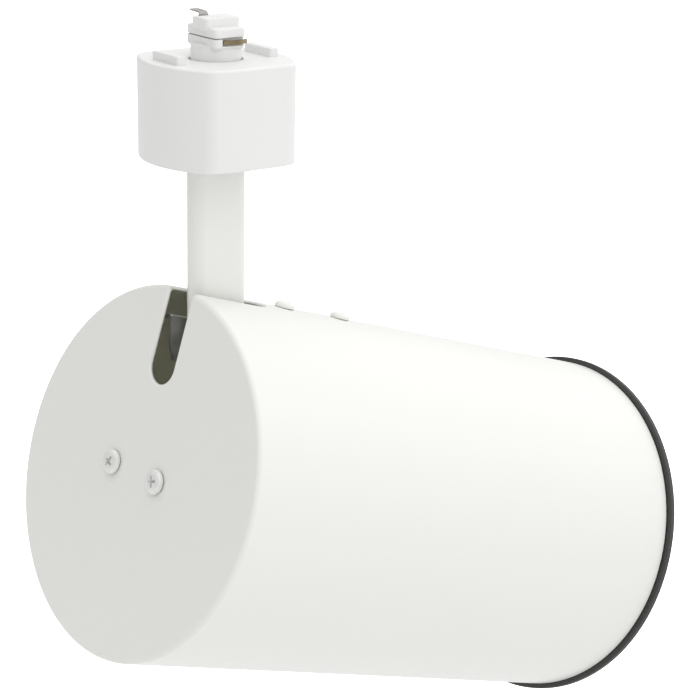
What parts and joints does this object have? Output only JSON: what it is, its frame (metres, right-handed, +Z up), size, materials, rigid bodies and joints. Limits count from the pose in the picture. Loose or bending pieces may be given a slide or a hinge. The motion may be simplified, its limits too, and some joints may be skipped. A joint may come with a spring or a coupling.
{
  "type": "track lighting fixture",
  "caption": "Flat-back cylinder track head for a reflector lamp, with a panning stem, tilting shell, pull-off baffle and twist-lock track adapter.",
  "frame": {"origin": "on the stem's axis, in the plane of the adapter housing's top face", "axes": "+Z up along the plug, into the track; +X along the track; the head points towards +X, panned 4.1 degrees towards +Y and tilted 17.8 degrees down"},
  "size_m": [0.2207, 0.1345, 0.2602],
  "materials": {
    "white_plastic": "satin",
    "white_paint": "gloss",
    "black_paint": "matte",
    "zinc": "satin",
    "spring_steel": "satin",
    "brass": "satin",
    "nickel": "satin",
    "porcelain": "gloss",
    "green_screw": "satin",
    "black_insulation": "satin",
    "white_insulation": "satin",
    "green_insulation": "satin"
  },
  "bodies": {
    "adapter": {"plug_lower": "white_plastic", "plug_upper": "white_plastic", "base_plate": "white_plastic", "base_screw_1": "zinc", "base_screw_2": "zinc", "contact_line": "spring_steel", "contact_neutral": "brass", "contact_ground": "brass", "return_spring": "spring_steel"},
    "adapter_housing": {"housing": "white_plastic"},
    "stem": {"stem_tube": "white_paint", "swivel_nipple": "zinc", "swivel_washer": "zinc", "swivel_nut": "zinc", "lead_line_stem": "black_insulation", "lead_neutral_stem": "white_insulation", "lead_ground_stem": "green_insulation"},
    "head": {"shell": "white_paint", "pivot_bracket": "zinc", "pivot_bolt": "zinc", "pivot_nut": "zinc", "friction_washer_left": "zinc", "friction_washer_right": "zinc", "bracket_screw_1": "white_paint", "bracket_screw_2": "white_paint", "bracket_nut_1": "zinc", "bracket_nut_2": "zinc", "ground_screw": "green_screw", "holder_screw_left": "zinc", "holder_screw_right": "zinc", "lampholder": "porcelain", "screw_shell": "nickel", "centre_contact": "brass", "terminal_screw_upper": "zinc", "terminal_screw_lower": "zinc", "lead_line_head": "black_insulation", "lead_neutral_head": "white_insulation", "lead_ground_head": "green_insulation"},
    "baffle_assembly": {"baffle": "black_paint", "baffle_clip_1": "spring_steel", "baffle_clip_2": "spring_steel", "baffle_clip_3": "spring_steel"}
  },
  "joints": [
    {"name": "housing_pull", "type": "slide", "parent": "adapter", "child": "adapter_housing", "axis": [0, 0, -1], "range_m": [0, 0.003], "stiffness_N_per_m": 700, "springref_m": -0.004, "deforming": ["return_spring"]},
    {"name": "stem_pan", "type": "hinge", "parent": "adapter", "child": "stem", "pos_m": [0, 0, -0.03], "axis": [0, 0, 1], "range_deg": [-175, 175]},
    {"name": "head_tilt", "type": "hinge", "parent": "stem", "child": "head", "pos_m": [0, 0, -0.0942], "axis": [-0.0715, 0.9974, 0], "range_deg": [-17.8, 72.2]},
    {"name": "baffle_pull", "type": "slide", "parent": "head", "child": "baffle_assembly", "axis": [0.9497, 0.0681, -0.3057], "range_m": [0, 0.036]}
  ]
}
